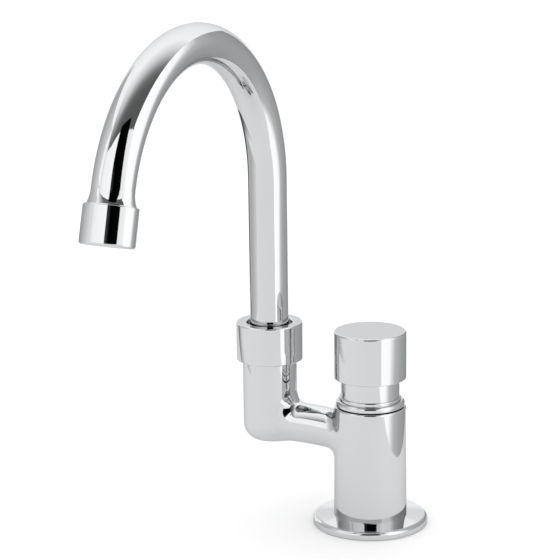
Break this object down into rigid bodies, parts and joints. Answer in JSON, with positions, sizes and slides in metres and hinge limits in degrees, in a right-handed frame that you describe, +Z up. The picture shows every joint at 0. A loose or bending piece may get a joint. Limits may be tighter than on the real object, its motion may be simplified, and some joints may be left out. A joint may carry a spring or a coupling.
{
  "type": "push-button faucet",
  "caption": "Deck-mounted self-closing push-button faucet: upright barrel on a round flange, side arm, and a swivelling gooseneck spout with aerator.",
  "frame": {"origin": "centre of the base flange's underside, on the deck, under the barrel's axis", "axes": "+Z up, out of the deck; the spout points to -Y at rest; the side arm runs from the barrel to -X"},
  "size_m": [0.0986, 0.189, 0.302],
  "materials": {
    "chromed_brass_body": "polished chrome plate on a brass casting",
    "chromed_brass_flange": "polished chrome plate on turned brass",
    "chromed_brass_bonnet": "polished chrome plate on turned brass",
    "chromed_brass_collar": "polished chrome plate on turned brass",
    "chromed_brass_cap": "polished chrome plate on turned brass",
    "chromed_brass_tube": "polished chrome plate on drawn brass tube",
    "chromed_brass_aerator": "polished chrome plate on turned brass",
    "raw_brass": "as turned",
    "stainless_steel": "turned or pressed, bare",
    "spring_steel": "drawn wire",
    "foam_rubber": "closed-cell foam",
    "washer_rubber": "moulded, matt",
    "seal_rubber": "moulded, greased",
    "fibre_washer": "pressed vulcanised fibre",
    "white_plastic": "moulded acetal",
    "valve_plastic": "moulded acetal, natural"
  },
  "bodies": {
    "fixed_body": {"faucet_body": "chromed_brass_body", "base_flange": "chromed_brass_flange", "deck_gasket": "foam_rubber", "mounting_shank": "raw_brass", "shank_washer": "fibre_washer", "rubber_deck_washer": "washer_rubber", "steel_deck_washer": "stainless_steel", "lock_nut": "raw_brass", "inlet_strainer": "white_plastic", "valve_cage": "valve_plastic", "cage_o_rings": "seal_rubber", "bonnet_sleeve": "chromed_brass_bonnet", "bonnet_o_ring": "seal_rubber", "stem_o_ring": "seal_rubber", "spout_collar": "chromed_brass_collar", "thrust_washer": "white_plastic"},
    "push_button": {"push_cap": "chromed_brass_cap", "plunger_stem": "stainless_steel", "metering_piston": "valve_plastic", "piston_cup_seal": "seal_rubber", "stem_clips": "stainless_steel", "valve_disc": "raw_brass", "valve_washer": "seal_rubber", "stem_nut": "stainless_steel", "return_spring": "spring_steel"},
    "swivel_spout": {"gooseneck_tube": "chromed_brass_tube", "spout_journal": "raw_brass", "spout_o_rings": "seal_rubber", "outlet_ferrule": "raw_brass", "aerator_housing": "chromed_brass_aerator", "aerator_seal": "washer_rubber", "aerator_insert": "white_plastic", "aerator_screen": "stainless_steel"}
  },
  "joints": [
    {"name": "button_press", "type": "slide", "parent": "fixed_body", "child": "push_button", "axis": [0, 0, -1], "range_m": [0, 0.008], "stiffness_N_per_m": 900, "springref_m": -0.018, "deforming": ["return_spring"]},
    {"name": "spout_swivel", "type": "hinge", "parent": "fixed_body", "child": "swivel_spout", "pos_m": [-0.0542, 0, 0.088], "axis": [0, 0, 1], "continuous": true}
  ]
}
